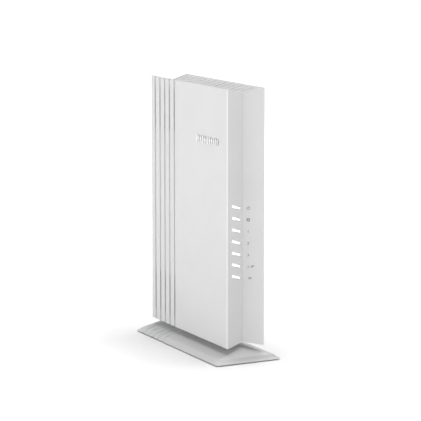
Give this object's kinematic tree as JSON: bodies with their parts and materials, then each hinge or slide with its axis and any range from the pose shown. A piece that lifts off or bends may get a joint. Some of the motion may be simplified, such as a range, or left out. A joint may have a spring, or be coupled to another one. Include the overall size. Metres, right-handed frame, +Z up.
{
  "type": "cable modem gateway",
  "caption": "White slab tower cable modem gateway: two shells folded in along a valley at mid thickness, slanted light windows, grooved vents, rear ports and buttons, roof-shaped stand.",
  "frame": {"origin": "on the surface that the stand's feet rest on, below the middle of the stand", "axes": "+Z up, -Y the narrow front with the light windows, +Y the rear with the connectors, -X the large left face with the raised mark"},
  "size_m": [0.062, 0.16, 0.2346],
  "materials": {
    "casing_white": "fine satin texture, moulded",
    "stand_white": "fine satin texture, moulded",
    "panel_grey": "satin",
    "window_white": "translucent white, smooth",
    "badge_white": "smooth",
    "button_grey": "satin",
    "black_plastic": "moulded",
    "rubber_grey": "matt",
    "foam_black": "open foam",
    "board_green": "solder mask",
    "chip_black": "moulded epoxy",
    "pad_grey": "soft",
    "steel": "zinc plated",
    "tin_plate": "tin plated",
    "aluminium": "extruded",
    "nickel": "nickel plated",
    "gold": "gold plated",
    "insulator_white": "smooth",
    "lead_grey": "smooth"
  },
  "bodies": {
    "casing": {"left_shell": "casing_white", "right_shell": "casing_white", "stand_cover": "stand_white", "stand_bottom_cover": "stand_white", "rear_panel": "panel_grey", "light_pipe": "window_white", "front_badge": "badge_white", "lan_port_1_insert": "black_plastic", "lan_port_2_insert": "black_plastic", "lan_port_3_insert": "black_plastic", "power_jack": "black_plastic", "power_switch": "black_plastic", "pairing_switch": "black_plastic", "reset_switch": "black_plastic", "port_transformer": "black_plastic", "sink_pin_1": "black_plastic", "sink_pin_2": "black_plastic", "foot_front_left": "rubber_grey", "foot_front_right": "rubber_grey", "foot_rear_left": "rubber_grey", "foot_rear_right": "rubber_grey", "light_gasket": "foam_black", "main_board": "board_green", "front_antenna": "board_green", "rear_antenna": "board_green", "led_strip": "board_green", "processor": "chip_black", "memory_chip": "chip_black", "input_capacitor": "chip_black", "thermal_pad": "pad_grey", "board_screw_1": "steel", "board_screw_2": "steel", "board_screw_3": "steel", "board_screw_4": "steel", "panel_screw_upper": "steel", "panel_screw_lower": "steel", "stand_screw_front": "steel", "stand_screw_rear": "steel", "stand_bracket": "steel", "sink_spring_1": "steel", "sink_spring_2": "steel", "lan_port_1_shield": "tin_plate", "lan_port_2_shield": "tin_plate", "lan_port_3_shield": "tin_plate", "tuner_shield": "tin_plate", "radio_shield": "tin_plate", "heat_sink": "aluminium", "coax_connector": "nickel", "coax_nut": "nickel", "power_jack_pin": "nickel", "lan_port_1_contacts": "gold", "lan_port_2_contacts": "gold", "lan_port_3_contacts": "gold", "coax_insulator": "insulator_white", "front_antenna_lead": "lead_grey", "rear_antenna_lead": "lead_grey"},
    "power_key": {"power_button": "button_grey", "power_switch_plunger": "black_plastic"},
    "pairing_key": {"pairing_button": "button_grey"},
    "reset_key": {"reset_button": "button_grey"}
  },
  "joints": [
    {"name": "power_press", "type": "slide", "parent": "casing", "child": "power_key", "axis": [0, -1, 0], "range_m": [0, 0.002], "stiffness_N_per_m": 800, "springref_m": -0.001},
    {"name": "pairing_press", "type": "slide", "parent": "casing", "child": "pairing_key", "axis": [0, -1, 0], "range_m": [0, 0.0006], "stiffness_N_per_m": 1800, "springref_m": -0.0003},
    {"name": "reset_press", "type": "slide", "parent": "casing", "child": "reset_key", "axis": [0, -1, 0], "range_m": [0, 0.0005], "stiffness_N_per_m": 1800, "springref_m": -0.0003}
  ]
}
